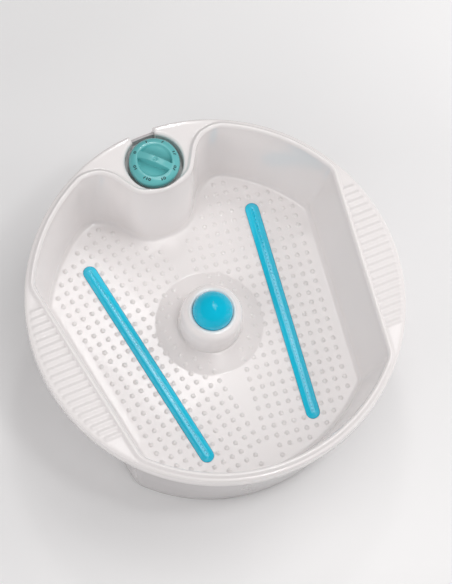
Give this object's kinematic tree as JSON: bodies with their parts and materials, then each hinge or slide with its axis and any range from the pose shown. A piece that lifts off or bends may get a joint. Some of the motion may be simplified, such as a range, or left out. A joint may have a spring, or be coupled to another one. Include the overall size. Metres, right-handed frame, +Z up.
{
  "type": "pedicure foot bath",
  "caption": "Round foot bath with a foot-shaped basin, bubble strips, a rolling massage ball, a rotary control knob and an air pump, vibration motor and heater inside.",
  "frame": {"origin": "on the ground, under the middle of the round rim", "axes": "+Z up, +Y from the heels towards the toes and the knob, +X to the right of someone using it"},
  "size_m": [0.4, 0.4, 0.173],
  "materials": {
    "white_shell": "glossy warm white moulded ABS",
    "cyan_plastic": "glossy cyan, slightly translucent",
    "teal_plastic": "satin-gloss teal",
    "grey_plastic": "matte moulded plastic",
    "black_rubber": "matte rubber",
    "seal_rubber": "soft silicone",
    "steel": "zinc-plated steel",
    "brass": "turned brass",
    "copper": "enamelled copper winding",
    "aluminium": "rolled aluminium",
    "circuit_board": "green solder mask",
    "hose": "clear PVC hose",
    "wire": "grey wire sleeve"
  },
  "bodies": {
    "base": {"tub": "white_shell", "massage_head": "white_shell", "ball_cup": "white_shell", "head_seal": "black_rubber", "bubble_strip_left": "cyan_plastic", "bubble_strip_right": "cyan_plastic", "strip_seal_left": "seal_rubber", "strip_seal_right": "seal_rubber", "rotary_switch": "grey_plastic", "switch_nut": "brass", "switch_seal": "black_rubber", "lower_housing": "white_shell", "rim_gasket": "black_rubber", "bottom_cover": "grey_plastic", "foot_front_left": "black_rubber", "foot_front_right": "black_rubber", "foot_rear_left": "black_rubber", "foot_rear_right": "black_rubber", "cover_screw_1": "steel", "cover_screw_2": "steel", "cover_screw_3": "steel", "cover_screw_4": "steel", "cover_screw_5": "steel", "cover_screw_6": "steel", "cover_screw_7": "steel", "cover_screw_8": "steel", "cord_gland": "black_rubber", "gland_nut": "grey_plastic", "vibration_motor": "steel", "motor_cradle": "grey_plastic", "pump_base": "grey_plastic", "pump_case": "grey_plastic", "pump_coil": "copper", "pump_diaphragm": "black_rubber", "pump_head": "grey_plastic", "pump_mount_front_left": "black_rubber", "pump_mount_front_right": "black_rubber", "pump_mount_rear_left": "black_rubber", "pump_mount_rear_right": "black_rubber", "air_manifold": "grey_plastic", "hose_main": "hose", "hose_left": "hose", "hose_right": "hose", "heater_plate": "aluminium", "heater_element": "seal_rubber", "thermostat": "steel", "thermal_fuse": "brass", "control_board": "circuit_board", "transformer": "steel", "wire_switch": "wire", "wire_motor": "wire", "wire_heater": "wire"},
    "knob": {"control_knob": "teal_plastic", "switch_shaft": "brass"},
    "ball": {"massage_ball": "cyan_plastic"},
    "motor_rotor": {"motor_shaft": "steel", "eccentric_weight_left": "brass", "eccentric_weight_right": "brass"},
    "pump_lever": {"pump_arm": "steel"}
  },
  "joints": [
    {"name": "knob_turn", "type": "hinge", "parent": "base", "child": "knob", "pos_m": [0, 0.1625, 0.16], "axis": [0, 0, 1], "range_deg": [-315, 0]},
    {"name": "ball_roll", "type": "hinge", "parent": "base", "child": "ball", "pos_m": [0, 0, 0.113], "axis": [1, 0, 0], "continuous": true},
    {"name": "motor_spin", "type": "hinge", "parent": "base", "child": "motor_rotor", "pos_m": [0, -0.075, 0.03], "axis": [1, 0, 0], "continuous": true},
    {"name": "pump_arm_swing", "type": "hinge", "parent": "base", "child": "pump_lever", "pos_m": [-0.0705, 0.05, 0.027], "axis": [0, 0, 1], "range_deg": [-2, 2], "stiffness_Nm_per_rad": 0.5}
  ]
}
